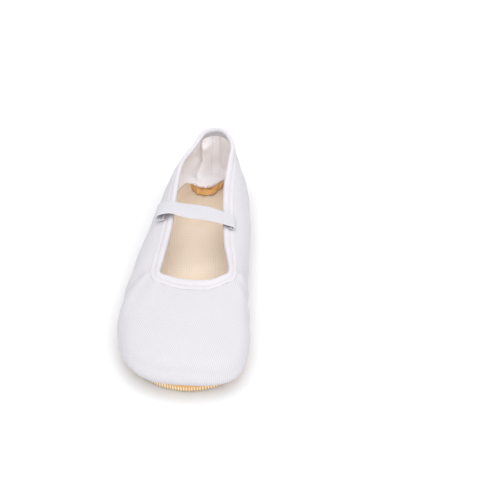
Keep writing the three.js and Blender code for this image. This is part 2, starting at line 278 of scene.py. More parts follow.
class Bits:
    """Many small closed tubes gathered in one mesh."""

    def __init__(self):
        self.v = []
        self.f = []
        self.n = 0

    def tube(self, path, radius, sides=7, flat=1.0, up=None):
        path = np.asarray(path, float)
        radius = np.broadcast_to(np.asarray(radius, float), (len(path),))
        t = np.gradient(path, axis=0)
        t /= np.maximum(np.linalg.norm(t, axis=1, keepdims=True), 1e-9)
        ref = np.array([0.0, 0, 1.0]) if up is None else np.asarray(up, float)
        if ref.ndim == 1:
            ref = np.broadcast_to(ref, path.shape)
        a = np.cross(t, ref)
        bad = np.linalg.norm(a, axis=1) < 1e-3
        a[bad] = np.cross(t[bad], [0, 1.0, 0.05])
        a /= np.linalg.norm(a, axis=1, keepdims=True)
        b = np.cross(a, t)
        ang = 2 * np.pi * np.arange(sides) / sides
        ring = (path[:, None] + radius[:, None, None] * (np.cos(ang)[None, :, None] * a[:, None]
                + flat * np.sin(ang)[None, :, None] * b[:, None]))
        self.v.append(ring.reshape(-1, 3))
        self.f.extend(grid_faces(len(path), sides, base=self.n).tolist())
        self.f.append((self.n + np.arange(sides))[::-1].tolist())
        self.f.append((self.n + (len(path) - 1) * sides + np.arange(sides)).tolist())
        self.n += len(path) * sides

    def stitch(self, a, b, normal, radius=0.24, lift=0.12, sides=7):
        a, b, normal = (np.asarray(x, float) for x in (a, b, normal))
        u = np.array([0.0, 0.1, 0.28, 0.5, 0.72, 0.9, 1.0])
        h = np.array([-0.42, -0.02, 0.16, 0.2, 0.16, -0.02, -0.42]) * 1.0
        r = np.array([0.55, 0.95, 1.0, 1.0, 1.0, 0.95, 0.55]) * radius
        path = a + (b - a) * u[:, None] + normal * (h * radius * 2 + lift * 0)[:, None]
        self.tube(path, r, sides=sides, up=normal)

    def object(self, name, material):
        verts = np.concatenate(self.v)
        mesh = bpy.data.meshes.new(name)
        mesh.from_pydata(((verts + SHIFT) * MM).tolist(), [], self.f)
        mesh.validate()
        import bmesh
        bm = bmesh.new()
        bm.from_mesh(mesh)
        bmesh.ops.recalc_face_normals(bm, faces=bm.faces)
        bm.to_mesh(mesh)
        bm.free()
        mesh.polygons.foreach_set("use_smooth", [True] * len(mesh.polygons))
        obj = bpy.data.objects.new(name, mesh)
        bpy.context.scene.collection.objects.link(obj)
        mesh.materials.append(material)
        return obj


# ---------------------------------------------------------------- materials
class Nodes:
    def __init__(self, name):
        self.m = bpy.data.materials.new(name)
        self.m.use_nodes = True
        self.t = self.m.node_tree
        self.t.nodes.clear()
        self.out = self.t.nodes.new("ShaderNodeOutputMaterial")
        self.b = self.t.nodes.new("ShaderNodeBsdfPrincipled")
        self.t.links.new(self.b.outputs[0], self.out.inputs[0])

    def node(self, kind, **kw):
        n = self.t.nodes.new(kind)
        for k, v in kw.items():
            setattr(n, k, v)
        return n

    def link(self, a, b):
        self.t.links.new(a, b)

    def val(self, sock, v):
        if isinstance(v, bpy.types.NodeSocket):
            self.link(v, sock)
        else:
            sock.default_value = v

    def math(self, op, a, b=None, c=None, clamp=False):
        n = self.node("ShaderNodeMath", operation=op, use_clamp=clamp)
        self.val(n.inputs[0], a)
        if b is not None:
            self.val(n.inputs[1], b)
        if c is not None:
            self.val(n.inputs[2], c)
        return n.outputs[0]

    def mix(self, f, a, b, blend="MIX"):
        n = self.node("ShaderNodeMix", data_type="RGBA", blend_type=blend)
        self.val(n.inputs[0], f)
        self.val(n.inputs[6], a)
        self.val(n.inputs[7], b)
        return n.outputs[2]

    def noise(self, vec, scale, detail=3.0, rough=0.55):
        n = self.node("ShaderNodeTexNoise")
        self.link(vec, n.inputs["Vector"])
        n.inputs["Scale"].default_value = scale
        n.inputs["Detail"].default_value = detail
        n.inputs["Roughness"].default_value = rough
        return n.outputs["Fac"]

    def ramp(self, f, lo, hi):
        n = self.node("ShaderNodeMapRange", interpolation_type="SMOOTHSTEP")
        self.val(n.inputs[0], f)
        n.inputs[1].default_value = lo
        n.inputs[2].default_value = hi
        return n.outputs[0]

    def uv(self):
        n = self.node("ShaderNodeUVMap", uv_map="cloth")
        return n.outputs[0]

    def obj(self):
        return self.node("ShaderNodeTexCoord").outputs["Object"]

    def split(self, v):
        n = self.node("ShaderNodeSeparateXYZ")
        self.link(v, n.inputs[0])
        return n.outputs

    def bump(self, height, distance, strength=1.0, normal=None):
        n = self.node("ShaderNodeBump")
        n.inputs["Strength"].default_value = strength
        n.inputs["Distance"].default_value = distance
        self.link(height, n.inputs["Height"])
        if normal is not None:
            self.link(normal, n.inputs["Normal"])
        return n.outputs[0]

    def set(self, **kw):
        for k, v in kw.items():
            self.val(self.b.inputs[k.replace("_", " ")], v)


def lin(r, g, b):
    f = lambda c: (c / 255 / 12.92) if c / 255 <= 0.04045 else ((c / 255 + 0.055) / 1.055) ** 2.4
    return (f(r), f(g), f(b), 1.0)


def wave(n, x, period):
    """0..1 cosine of a length in mm over a period in mm."""
    return n.math("MULTIPLY_ADD", n.math("COSINE", n.math("MULTIPLY", x, 2 * math.pi / period)), 0.5, 0.5)


def twill_material():
    n = Nodes("white_twill")
    c = n.split(n.uv())
    x = n.math("MULTIPLY", c[0], 100.0)
    y = n.math("MULTIPLY", c[1], 100.0)
    o = n.obj()
    # yarn wander bends the lines a little
    wander = n.math("MULTIPLY", n.math("SUBTRACT", n.noise(o, 160.0, 2.0), 0.5), 0.55)
    diag = n.math("ADD", n.math("ADD", n.math("MULTIPLY", x, 0.866), n.math("MULTIPLY", y, 0.5)), wander)
    along = n.math("SUBTRACT", n.math("MULTIPLY", x, 0.5), n.math("MULTIPLY", y, 0.866))
    line = wave(n, diag, 1.42)
    floats = wave(n, n.math("ADD", along, n.math("MULTIPLY", diag, 0.9)), 1.15)
    yarn = n.math("MULTIPLY", line, n.math("MULTIPLY_ADD", floats, 0.28, 0.72))
    fuzz = n.noise(o, 2600.0, 2.0, 0.6)
    height = n.math("ADD", n.math("MULTIPLY", yarn, 0.8), n.math("MULTIPLY", fuzz, 0.25))
    cloud = n.noise(o, 26.0, 4.0, 0.6)
    base = n.mix(n.ramp(yarn, 0.05, 0.75), lin(190, 188, 193), lin(203, 201, 205))
    base = n.mix(n.math("MULTIPLY", n.ramp(cloud, 0.35, 0.75), 0.35), base, lin(190, 189, 195))
    # faint handling grime low on the walls and at the toe
    p = n.split(o)
    low = n.math("SUBTRACT", 1.0, n.ramp(p[2], 0.004, 0.016))
    grime = n.math("MULTIPLY", low, n.ramp(n.noise(o, 90.0, 4.0, 0.65), 0.4, 0.75))
    base = n.mix(n.math("MULTIPLY", grime, 0.22), base, lin(196, 188, 178))
    n.set(Base_Color=base, Roughness=0.88, Normal=n.bump(height, 0.00018, 0.6))
    n.b.inputs["Sheen Weight"].default_value = 0.12
    n.b.inputs["Sheen Roughness"].default_value = 0.5
    n.b.inputs["Specular IOR Level"].default_value = 0.2
    return n.m


def plain_cloth(name, light, dark, pitch=0.55, rough=0.9, depth=0.00012, tint=None):
    """Fine plain weave in cloth coordinates, for binding and tape."""
    n = Nodes(name)
    c = n.split(n.uv())
    x = n.math("MULTIPLY", c[0], 100.0)
    y = n.math("MULTIPLY", c[1], 100.0)
    o = n.obj()
    wx = wave(n, x, pitch * 2)
    wy = wave(n, y, pitch * 2)
    over = n.math("ABSOLUTE", n.math("SUBTRACT", wx, wy))
    fuzz = n.noise(o, 1800.0, 3.0, 0.6)
    h = n.math("ADD", n.math("MULTIPLY", over, 0.7), n.math("MULTIPLY", fuzz, 0.4))
    cloud = n.noise(o, 40.0, 3.0, 0.6)
    base = n.mix(n.math("MULTIPLY_ADD", over, 0.35, n.math("MULTIPLY", n.ramp(cloud, 0.3, 0.75), 0.5)), light, dark)
    n.set(Base_Color=base, Roughness=rough, Normal=n.bump(h, depth, 0.6))
    n.b.inputs["Sheen Weight"].default_value = 0.1
    n.b.inputs["Sheen Roughness"].default_value = 0.5
    n.b.inputs["Specular IOR Level"].default_value = 0.2
    return n.m


def lining_material():
    n = Nodes("lining_knit")
    c = n.split(n.uv())
    x = n.math("MULTIPLY", c[0], 100.0)
    y = n.math("MULTIPLY", c[1], 100.0)
    o = n.obj()
    wales = wave(n, n.math("ADD", x, n.math("MULTIPLY", n.noise(o, 500.0, 1.0), 0.5)), 0.9)
    fuzz = n.noise(o, 900.0, 4.0, 0.7)
    cloud = n.noise(o, 70.0, 4.0, 0.6)
    h = n.math("ADD", n.math("MULTIPLY", wales, 0.5), n.math("MULTIPLY", fuzz, 0.9))
    base = n.mix(n.ramp(cloud, 0.3, 0.72), lin(252, 250, 252), lin(247, 243, 245))
    base = n.mix(n.math("MULTIPLY", n.ramp(fuzz, 0.45, 0.7), 0.25), base, lin(253, 251, 254))
    n.set(Base_Color=base, Roughness=0.95, Normal=n.bump(h, 0.00025, 0.6))
    n.b.inputs["Sheen Weight"].default_value = 0.2
    n.b.inputs["Sheen Roughness"].default_value = 0.6
    n.b.inputs["Specular IOR Level"].default_value = 0.15
    return n.m


def insole_material():
    n = Nodes("insole_cloth")
    o = n.obj()
    p = n.split(o)
    x = n.math("MULTIPLY", p[0], 1000.0)
    y = n.math("MULTIPLY", p[1], 1000.0)
    bend = n.math("MULTIPLY", n.math("SUBTRACT", n.noise(o, 60.0, 1.0), 0.5), 0.9)
    wx = wave(n, n.math("ADD", x, n.math("ADD", bend, n.math("MULTIPLY", y, 0.05))), 1.75)
    wy = wave(n, n.math("ADD", y, bend), 1.95)
    dot = n.math("MULTIPLY", n.math("POWER", wx, 1.6), n.math("POWER", wy, 1.6))
    fine = n.noise(o, 1500.0, 3.0, 0.65)
    fibre = n.noise(o, 260.0, 4.0, 0.6)
    h = n.math("ADD", n.math("MULTIPLY", n.math("SUBTRACT", 1.0, dot), 0.9), n.math("MULTIPLY", fine, 0.35))
    cloud = n.noise(o, 22.0, 4.0, 0.6)
    base = n.mix(n.ramp(cloud, 0.3, 0.75), lin(239, 224, 208), lin(231, 213, 193))
    base = n.mix(n.math("MULTIPLY", dot, 0.36), base, lin(196, 170, 138))
    base = n.mix(n.math("MULTIPLY", n.ramp(fibre, 0.52, 0.72), 0.3), base, lin(231, 217, 200))
    # painted shade: darker towards the ball of the foot and the heel, deep in the slipper, so paler under the arch
    # between them
    front = n.ramp(n.math("MULTIPLY", y, -1.0), -12.0, 46.0)
    heel = n.ramp(y, 40.0, 108.0)
    painted_shade = n.math("MAXIMUM", n.math("MULTIPLY", front, 0.95), n.math("MULTIPLY", heel, 0.75))
    base = n.mix(n.math("MULTIPLY", painted_shade, 0.8), base, lin(208, 186, 158))
    n.set(Base_Color=base, Roughness=0.9, Normal=n.bump(h, 0.00022, 0.6))
    n.b.inputs["Sheen Weight"].default_value = 0.08
    n.b.inputs["Specular IOR Level"].default_value = 0.2
    return n.m


def rubber_material(name, light, dark, grit_colour):
    n = Nodes(name)
    o = n.obj()
    p = n.split(o)
    cloud = n.noise(o, 35.0, 4.0, 0.6)
    grit = n.noise(o, 700.0, 4.0, 0.6)
    base = n.mix(n.ramp(cloud, 0.3, 0.75), light, dark)
    base = n.mix(n.math("MULTIPLY", n.ramp(grit, 0.5, 0.75), 0.4), base, grit_colour)
    # scuffing on the tread's crests
    low = n.math("SUBTRACT", 1.0, n.ramp(p[2], 0.0001, 0.0012))
    scuff = n.math("MULTIPLY", low, n.ramp(n.noise(o, 120.0, 5.0, 0.7), 0.45, 0.7))
    base = n.mix(n.math("MULTIPLY", scuff, 0.5), base, lin(150, 128, 98))
    rough = n.math("MULTIPLY_ADD", grit, 0.25, 0.5)
    n.set(Base_Color=base, Roughness=rough, Normal=n.bump(grit, 0.00012, 0.5))
    n.b.inputs["Specular IOR Level"].default_value = 0.35
    return n.m


def elastic_material():
    n = Nodes("elastic_webbing")
    c = n.split(n.uv())
    x = n.math("MULTIPLY", c[0], 100.0)   # along the strap
    y = n.math("MULTIPLY", c[1], 100.0)   # across the strap
    o = n.obj()
    ribs = wave(n, y, 1.08)
    picks = wave(n, n.math("ADD", x, n.math("MULTIPLY", wave(n, y, 2.16), 0.35)), 0.7)
    fuzz = n.noise(o, 2200.0, 2.0, 0.6)
    h = n.math("ADD", n.math("ADD", n.math("MULTIPLY", ribs, 0.7), n.math("MULTIPLY", picks, 0.45)), n.math("MULTIPLY", fuzz, 0.25))
    cloud = n.noise(o, 60.0, 3.0, 0.55)
    base = n.mix(n.math("MULTIPLY_ADD", ribs, 0.6, n.math("MULTIPLY", picks, 0.3)), lin(186, 185, 191), lin(204, 203, 208))
    base = n.mix(n.math("MULTIPLY", n.ramp(cloud, 0.4, 0.75), 0.3), base, lin(185, 184, 191))
    n.set(Base_Color=base, Roughness=0.62, Normal=n.bump(h, 0.00018, 0.6))
    n.b.inputs["Sheen Weight"].default_value = 0.15
    n.b.inputs["Specular IOR Level"].default_value = 0.35
    return n.m


def thread_material(name, colour, shade):
    n = Nodes(name)
    o = n.obj()
    ply = n.noise(o, 1500.0, 2.0, 0.5)
    cloud = n.noise(o, 120.0, 2.0, 0.5)
    base = n.mix(n.math("MULTIPLY_ADD", ply, 0.6, n.math("MULTIPLY", cloud, 0.3)), colour, shade)
    n.set(Base_Color=base, Roughness=0.6, Normal=n.bump(ply, 0.0001, 0.6))
    n.b.inputs["Specular IOR Level"].default_value = 0.3
    return n.m


def foam_material():
    n = Nodes("cushion_foam")
    o = n.obj()
    cells = n.node("ShaderNodeTexVoronoi")
    n.link(o, cells.inputs["Vector"])
    cells.inputs["Scale"].default_value = 900.0
    d = cells.outputs["Distance"]
    base = n.mix(n.ramp(d, 0.1, 0.6), lin(206, 200, 186), lin(226, 221, 208))
    n.set(Base_Color=base, Roughness=0.95, Normal=n.bump(d, 0.0002, 0.6))
    return n.m


M_TWILL = twill_material()
M_BAND = plain_cloth("binding_cloth", lin(206, 203, 208), lin(196, 193, 198))
M_LINING = lining_material()
M_TAPE = plain_cloth("lining_tape", lin(252, 250, 252), lin(247, 243, 245), pitch=0.5, depth=0.0002)
M_INSOLE = insole_material()
M_RUBBER = rubber_material("natural_rubber", lin(230, 182, 118), lin(214, 162, 99), lin(190, 138, 82))
# the tread ribs take a much paler copy of the same natural rubber: painted light, for the light that falls on the ribs
# round the toe
M_RIBS_PAINTED_LIGHT = rubber_material("natural_rubber_ribs_painted_light", lin(247, 236, 208), lin(238, 221, 185), lin(220, 200, 162))
M_ELASTIC = elastic_material()
M_THREAD = thread_material("white_thread", lin(216, 214, 219), lin(198, 196, 202))
M_OVERLOCK = thread_material("overlock_thread", lin(232, 208, 192), lin(200, 164, 142))
M_FOAM = foam_material()

# ------------------------------------------------------------------- pieces
ROOT = "slipper"

BAND_W = 7.8      # binding width
GROOVE = 4.9      # stitch line in the binding
N_MAIN = COUNT * 18


def loop_s(n):
    return np.arange(n) * (COUNT / n)


def bump1(x, centre, half):
    """smooth hump, 1 at centre, 0 beyond half"""
    u = np.clip(np.abs(x - centre) / half, 0, 1)
    return (1 - u * u) ** 2


def wrap_to(s, centre):
    return (s - centre + COUNT / 2) % COUNT - COUNT / 2 + centre


def folds(s, w, p):
    """Outward moves of the upper's cloth, in mm: gathers, soft folds, puckers."""
    cl, cfull = crest_length(s)
    sl, sfull = seam_length(s)
    left = total(s)[:, None] - w
    S = s[:, None]
    out = np.zeros_like(w)
    # gathers that fan out from the binding's stitch line
    g = wobble(cl, 11, period=cfull, octaves=1) * 0
    gather = np.sin(2 * np.pi * cl / 8.2 + 1.6 * wobble(cl, 5, period=cfull)) * (0.55 + 0.45 * wobble(cl, 8, period=cfull))
    fade = np.exp(-np.maximum(w - BAND_W, 0) / 5.5)
    side = 1 - 0.75 * bump1(wrap_to(s, 11), 11, 2.6)
    out += 0.26 * (gather * side)[:, None] * fade
    # soft folds that run down the walls by the corners of the throat
    for c, half, amp, count in ((7.3, 1.5, 0.75, 3.0), (14.6, 1.7, 0.55, 3.2), (17.5, 1.6, 0.45, 2.6), (4.4, 1.6, 0.4, 2.6)):
        d = wrap_to(s, c) - c
        env = bump1(d, 0, half)
        mid = np.clip((w - 5) / 9, 0, 1) * np.clip(left / 12, 0, 1)
        lean = d[:, None] + 0.018 * (w - 12)
        out += amp * env[:, None] * mid * np.sin(2 * np.pi * lean * count / (2 * half) + c)
    # slow unevenness of the whole cloth
    q = p + SHIFT
    slow = (np.sin(q[..., 0] / 9.5 + 0.7 * np.sin(q[..., 1] / 17)) * np.sin(q[..., 1] / 14.0 + 1.1)
            + 0.6 * np.sin(q[..., 0] / 5.2 + q[..., 1] / 7.5 + q[..., 2] / 6.0))
    out += 0.22 * slow * np.clip((w - 6) / 8, 0, 1) * np.clip(left / 8, 0, 1)
    # puckers where the cloth is drawn into the sole seam
    pk = np.sin(2 * np.pi * sl / 5.6 + 1.3 * wobble(sl, 21, period=sfull)) * (0.6 + 0.4 * wobble(sl, 23, period=sfull))
    out += 0.24 * pk[:, None] * np.exp(-left / 4.5)
    # low roll of cloth above the toe
    toe = bump1(wrap_to(s, 11.3), 11.3, 2.6)[:, None]
    out += toe * (0.55 * np.exp(-((left - 8.5) / 3.2) ** 2) - 0.6 * np.exp(-((left - 15.5) / 2.6) ** 2))
    return out


def upper_shell():
    s = loop_s(N_MAIN)
    full = total(s)[:, None]
    k = np.linspace(0, 1, 58)
    # rows: closest near the foot and near the binding
    t = 0.02 + 0.98 * (0.5 - 0.5 * np.cos(np.pi * k)) * 0.35 + 0.98 * 0.65 * k
    foot = full - 0.3
    w_out = 2.8 + (foot - 2.8) * ((t - t[0]) / (t[-1] - t[0]))[None, ::-1]
    p, nrm = frames(s, w_out)
    off = folds(s, w_out, p)
    left = full - w_out
    # cloth rolls inwards to meet the sole seam
    off = off - 0.5 * np.exp(-left / 1.2)
    outer = p + nrm * off[..., None]
    pick = np.r_[np.arange(57, 0, -6), 0]
    inner = (outer - nrm * 0.75)[:, pick]
    rows = [outer[:, i] for i in range(outer.shape[1])] + [inner[:, i] for i in range(inner.shape[1])]
    v = np.concatenate(rows)
    uvo = twill_map(s, w_out, p)
    uvr = [uvo[:, i] for i in range(uvo.shape[1])] + [uvo[:, j] for j in pick]
    f = grid_faces(len(rows), N_MAIN, close_rows=True)
    return build("upper_shell_cloth", v, [f], M_TWILL, uv=np.concatenate(uvr))


def heel_zone(s):
    """1 round the back of the heel, 0 elsewhere"""
    u = np.clip((1.55 - np.abs(wrap_to(s, 0) + 0.4)) / 0.35, 0, 1)
    return u * u * (3 - 2 * u)


# free edge of the sole's allowance in the heel, and the lining's edge above it
HEEL_S = np.array([-1.95, -1.75, -1.55, -1.3, -1.0, -0.5, 0.0, 0.35, 0.6, 0.8, 0.95, 1.15])
LIP_XY = np.array([(-14.6, 99.6), (-13.4, 100.8), (-12.1, 98.2), (-10.3, 95.2), (-7.9, 92.9), (-3.2, 91.9), (1.9, 92.2), (5.2, 94.6), (7.6, 98.4), (9.4, 102.2), (11.0, 105.6), (13.4, 106.6)])
FOOT_XY = np.array([(-16.0, 102.0), (-14.2, 103.2), (-12.5, 101.9), (-10.5, 100.2), (-7.7, 98.7), (-3.6, 97.5), (0.9, 97.6), (4.3, 99.4), (6.4, 102.6), (8.6, 105.8), (11.2, 108.0), (14.5, 109.0)])


def heel_line(s, line):
    d = wrap_to(s, 0)
    out = np.zeros((len(s), 2))
    for k in (-0.12, -0.04, 0.04, 0.12):
        for c in range(2):
            out[:, c] += np.interp(d + k, HEEL_S, line[:, c]) / 4
    return out


def heel_dent(s, w):
    """Moves of the lining in the heel: one long crease, and the slack cloth
    that bulges inwards beside it."""
    d = wrap_to(s, 0)[:, None]
    full = total(s)[:, None]
    k = np.clip((w - 5) / (full - 8), 0, 1)
    v = np.clip((w - 5.5) / 10, 0, 1) * np.clip((full - w + 0.5) / 5, 0, 1)
    e = d - crease_line(k)
    lobes = 0.25 + 0.75 * np.cos((k - 0.32) * np.pi / 0.62) ** 2
    start = np.clip((e - 0.01) / 0.16, 0, 1)
    swell = np.where(e > 0, np.exp(-(e / 0.72) ** 2) * np.sin(start * np.pi / 2) ** 0.6, 0)
    rise = np.where(e < 0, np.exp(-((e + 0.34) / 0.26) ** 2) * np.clip(-(e + 0.04) / 0.1, 0, 1), 0)
    far = bump1(d, 0.95, 0.6)
    ripple = 0.3 * np.sin(w / 2.6 + 2.0 * d) * np.exp(-(e / 0.9) ** 2)
    return v * (-(1.9 + 3.3 * lobes) * swell - 0.6 * rise - 0.45 * far + ripple * (np.abs(e) > 0.12))


def crease_line(k):
    ks = [-0.1, 0.0, 0.15, 0.34, 0.5, 0.62, 0.73, 0.9, 1.02, 1.1]
    ss = [-1.2, -1.15, -1.1, -0.93, -0.86, -0.76, -0.95, -1.14, -1.26, -1.32]
    return sum(np.interp(k + q, ks, ss) for q in (-0.05, -0.02, 0.02, 0.05)) / 4


def heel_lap(s, w):
    """How far the slack cloth laps sideways over the crease, in mm."""
    d = wrap_to(s, 0)[:, None]
    full = total(s)[:, None]
    k = np.clip((w - 5) / (full - 8), 0, 1)
    v = np.clip((w - 8) / 6, 0, 1) * np.clip((full - w - 0.5) / 4, 0, 1)
    e = d - crease_line(k)
    return np.where(e > 0, 2.3 * v * np.exp(-((e - 0.11) / 0.10) ** 2) * np.clip(e / 0.05, 0, 1), 0)


def lining():
    s = np.concatenate([np.linspace(-2.2, -1.4, 30, endpoint=False), np.linspace(-1.4, -0.5, 130, endpoint=False), np.linspace(-0.5, 1.6, 60, endpoint=False), np.linspace(1.6, COUNT - 2.2, 240, endpoint=False)])
    n = len(s)
    full = total(s)[:, None]
    h = seam_height(s)
    rows_n = 46
    k = np.linspace(0, 1, rows_n)[None]
    foot = full - 3.6
    w = foot + (2.8 - foot) * k
    p, nrm = frames(s, w)
    off = folds(s, w, p) * 0.8 - 1.15
    fuzz = 0.16 * np.sin(p[..., 0] / 3.1 + 1.2 * np.sin(p[..., 2] / 4.0)) * np.sin(p[..., 2] / 3.3 + p[..., 1] / 6)
    heel = bump1(wrap_to(s, 0), 0, 3.5)[:, None]
    off = np.minimum(np.minimum(off + fuzz * heel, -1.0) + heel_dent(s, w), -1.0)
    side = np.roll(p, -1, axis=0) - np.roll(p, 1, axis=0)
    side /= np.linalg.norm(side, axis=2, keepdims=True)
    lap = side * heel_lap(s, w)[..., None]
    back = p + nrm * np.minimum(off, -0.95)[..., None] - lap
    front = p + nrm * (np.minimum(off, -0.95) - 0.5)[..., None] - lap
    z = heel_zone(s)
    sl, sf = seam_length(s)
    ripple = 0.35 * np.sin(2 * np.pi * sl / 7.1 + 1.5 * wobble(sl, 61, period=sf))

    base_xy = seam(s, 3.0, 0)[:, :2]
    edge_xy = heel_line(s, FOOT_XY)
    edge_xy[:, 1] += 1.6 * ripple

    slack = np.exp(-((wrap_to(s, 0) + 0.72) / 0.42) ** 2)

    def foot_ring(inset, dz, heel_u, heel_dz):
        rise = 3.4 * slack * math.sin(math.pi * min(max(heel_u, 0.0), 1.0)) ** 0.7 if dz > 2.4 else 0.0
        ring = seam(s, inset + ripple * 0.25, h + dz * (1 - z) + (heel_dz + rise) * z)
        xy = base_xy + (edge_xy - base_xy) * heel_u
        ring[:, :2] = ring[:, :2] * (1 - z)[:, None] + xy * z[:, None]
        return ring

    # the cloth's foot ends at the insole's edge; at the back of the heel it
    # turns in over the sole's allowance
    feet = [
        foot_ring(1.5, 2.0, 0.97, 1.9), foot_ring(1.95, 2.2, 1.02, 2.15), foot_ring(2.0, 2.5, 1.0, 2.55), foot_ring(1.95, 2.7, 0.96, 2.75), foot_ring(1.9, 2.75, 0.9, 2.9),
        foot_ring(1.85, 2.8, 0.82, 2.95), foot_ring(1.8, 2.85, 0.72, 2.95), foot_ring(1.78, 3.0, 0.6, 3.0), foot_ring(1.75, 3.1, 0.45, 3.15), foot_ring(1.6, 3.6, 0.26, 3.8),
    ]
    under = [foot_ring(1.1, 2.2, 0.02, 2.7), foot_ring(1.2, 1.75, 0.5, 2.2), foot_ring(1.4, 1.8, 0.93, 1.65)]
    uvo = flat_map(s, w, p)
    pick = np.unique(np.r_[np.arange(rows_n - 1, -1, -4), 0])[::-1]
    rows = feet + [front[:, i] for i in range(rows_n)] + [back[:, j] for j in pick] + under
    uvr = [uvo[:, 0]] * len(feet) + [uvo[:, i] for i in range(rows_n)] + [uvo[:, j] for j in pick] + [uvo[:, 0]] * len(under)
    f = grid_faces(len(rows), n, close_rows=True)
    return build("lining_cloth", np.concatenate(rows), [f], M_LINING, uv=np.concatenate(uvr))


# binding: outer leg with a puffed tunnel and a flat edge, inner leg plain
BAND_SECTION = np.array([
    (7.75, -0.06), (7.9, 0.06), (7.8, 0.22), (7.2, 0.34), (6.4, 0.42), (5.7, 0.4), (5.2, 0.28), (4.9, 0.2),
    (4.6, 0.3), (4.2, 0.52), (3.6, 0.8), (2.8, 1.05), (1.9, 1.1), (1.1, 0.92), (0.5, 0.5), (0.12, -0.1),
    (0.0, -0.72), (0.12, -1.35), (0.5, -1.95), (1.1, -2.35), (2.0, -2.55), (3.0, -2.55), (4.0, -2.4), (4.7, -2.15),
    (5.0, -2.05), (5.4, -2.15), (6.4, -2.35), (7.2, -2.35), (7.6, -2.15), (7.6, -1.75), (6.0, -1.72), (3.5, -1.72),
    (1.6, -1.6), (0.8, -0.72), (1.6, 0.02), (3.5, 0.02), (6.0, -0.06),
])


def hem(s):
    """the binding is folded wider along the throat"""
    return 1 + 0.24 * bump1(wrap_to(s, 11.3), 11.3, 2.6)


def band():
    n = N_MAIN
    s = loop_s(n)
    cl, cfull = crest_length(s)
    w = np.broadcast_to(BAND_SECTION[:, 0], (n, len(BAND_SECTION))).copy()
    off = np.broadcast_to(BAND_SECTION[:, 1], (n, len(BAND_SECTION))).copy()
    # the stitched edge wanders a little, and the elastic gathers the cloth
    wander = 0.35 * wobble(cl, 31, period=cfull)
    w += (w / BAND_W) * wander[:, None]
    w *= hem(s)[:, None]
    gather = np.sin(2 * np.pi * cl / 4.1 + 2.2 * wobble(cl, 35, period=cfull))
    gather = gather * (0.5 + 0.5 * wobble(cl, 36, period=cfull))
    puff = 0.8 * np.exp(-((w - 2.4) / 1.9) ** 2)
    outer = off > -0.6
    off += np.where(outer, 1, -1) * 0.17 * gather[:, None] * puff
    lap = np.exp(-((w - 6.6) / 1.0) ** 2)
    off += np.where(outer, 1, -1) * 0.08 * np.sin(2 * np.pi * cl / 5.3 + 1.0)[:, None] * lap
    p, nrm = frames(s, w)
    v = p + nrm * off[..., None]
    # slack of the edge: it dips and rises slowly along its length
    soft = wobble(cl, 41, period=cfull)
    v[..., 2] += 0.35 * soft[:, None] * np.exp(-w / 5)
    uv = np.stack([np.broadcast_to(cl[:, None], w.shape), np.cumsum(np.r_[0, np.hypot(*np.diff(BAND_SECTION, axis=0).T)])[None].repeat(n, 0)], axis=-1)
    rows = [v[:, i] for i in range(v.shape[1])]
    uvr = [uv[:, i] for i in range(v.shape[1])]
    f = grid_faces(len(rows), n, close_rows=True)
    # heel join: the loop closes on itself, so its cloth coordinate restarts there
    return build("topline_band_cloth", np.concatenate(rows), [f], M_BAND, uv=np.concatenate(uvr))


def stations_along(start, stop, pitch, which="crest"):
    g = np.linspace(0, COUNT, COUNT * 60 + 1)
    fn = crest_length if which == "crest" else seam_length
    length = fn(g)[0]
    full = length[-1]
    n = int(round((stop - start) * full / pitch))
    x = (start + (stop - start) * (np.arange(n + 1) / n)) * full
    return np.interp(x, length, g)


def topline_stitching():
    bits = Bits()
    ends = stations_along(0, 1, 2.9)
    cl_full = crest_length(np.array([0.0]))[1]
    gap = 0.16
    n = len(ends) - 1
    a = ends[:-1] + (ends[1:] - ends[:-1]) * gap * 0.5
    b = ends[1:] - (ends[1:] - ends[:-1]) * gap * 0.5
    mid = (a + b) / 2
    for stream in (a,):
        pass
    def on(s, extra=0.0):
        cl, cf = crest_length(s)
        w = (GROOVE + (GROOVE / BAND_W) * 0.35 * wobble(cl, 31, period=cf)) * hem(s)
        p, nn = frames(s, w[:, None])
        soft = wobble(cl, 41, period=cf)
        q = p[:, 0] + nn[:, 0] * (0.3 + extra)
        q[:, 2] += 0.35 * soft * np.exp(-w / 5)
        return q, nn[:, 0]
    pa, na = on(a)
    pb, nb = on(b)
    for i in range(n):
        bits.stitch(pa[i], pb[i], na[i], radius=0.16)
    return bits.object("topline_stitches", M_THREAD)


def topline_elastic():
    n = COUNT * 10
    s = loop_s(n)
    p, nrm = frames(s, np.full((n, 1), 2.3))
    c = p[:, 0] + nrm[:, 0] * -0.72
    cl, cf = crest_length(s)
    c[:, 2] += 0.35 * wobble(cl, 41, period=cf) * np.exp(-2.3 / 5)
    t = np.roll(c, -1, 0) - np.roll(c, 1, 0)
    t /= np.linalg.norm(t, axis=1, keepdims=True)
    a = nrm[:, 0] - t * np.sum(nrm[:, 0] * t, axis=1, keepdims=True)
    a /= np.linalg.norm(a, axis=1, keepdims=True)
    b = np.cross(t, a)
    rows = []
    for k in range(8):
        ang = 2 * np.pi * k / 8
        rows.append(c + 0.55 * (math.cos(ang) * a + math.sin(ang) * b))
    f = grid_faces(8, n, close_rows=True)
    return build("topline_elastic_cord", np.concatenate(rows), [f], M_THREAD)


def lip_extra(s):
    """how far the sole's allowance hangs into the heel, beyond its plain width"""
    return 10.5 * heel_zone(s)


def lip_ruffle(s):
    sl, sf = seam_length(s)
    r = np.sin(2 * np.pi * sl / 8.3 + 1.7 * wobble(sl, 52, period=sf)) + 0.5 * np.sin(2 * np.pi * sl / 4.4 + 2 * wobble(sl, 57, period=sf))
    return r * heel_zone(s)


